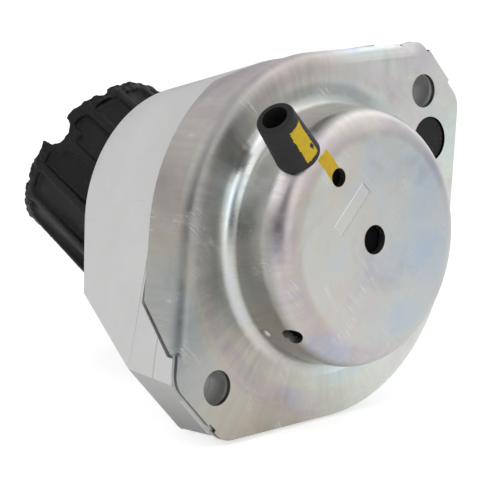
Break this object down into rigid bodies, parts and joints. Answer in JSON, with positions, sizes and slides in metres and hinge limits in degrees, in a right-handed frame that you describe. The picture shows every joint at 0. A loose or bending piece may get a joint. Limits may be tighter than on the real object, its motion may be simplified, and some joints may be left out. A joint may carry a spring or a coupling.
{
  "type": "engine mount",
  "caption": "Hydraulic engine mount: domed steel pot with two bolt ears, cast aluminium housing, leaning rubber stop buffer and vacuum port with rubber sleeve.",
  "frame": {"origin": "midpoint between the two bolt holes, on the seat face of the flange, the face that the dome stands out of", "axes": "+Z along the mount's main axis from the pot up to the engine side, +X through the bolt holes, so the vacuum sleeve points to -Y"},
  "size_m": [0.1474, 0.1163, 0.1545],
  "materials": {
    "zinc_steel": "zinc plated pressed sheet, pale, faint rainbow sheen",
    "bare_steel": "turned or pressed, oiled",
    "cast_aluminium": "die cast, matte, fine grained",
    "plate_aluminium": "die cast, machined faces",
    "spring_rubber": "moulded, satin, with flash lines",
    "sleeve_rubber": "extruded, matte, yellow paint mark",
    "plug_rubber": "moulded, speckled",
    "diaphragm_rubber": "moulded, matte",
    "cup_plastic": "moulded, glass filled"
  },
  "bodies": {
    "root": {"lower_pot": "zinc_steel", "vacuum_nipple": "bare_steel", "connector_sleeve": "sleeve_rubber", "housing": "cast_aluminium", "window_plug": "plug_rubber", "vacuum_cup": "cup_plastic", "rolling_diaphragm": "diaphragm_rubber", "diaphragm_disc": "bare_steel", "valve_spring": "bare_steel", "lower_channel_plate": "plate_aluminium", "upper_channel_plate": "plate_aluminium", "decoupler_disc": "diaphragm_rubber", "plate_seal": "diaphragm_rubber", "outer_ring": "bare_steel", "main_spring": "spring_rubber", "core": "cast_aluminium", "locating_pin": "bare_steel", "stop_washer": "bare_steel", "stop_buffer": "spring_rubber"}
  },
  "joints": []
}
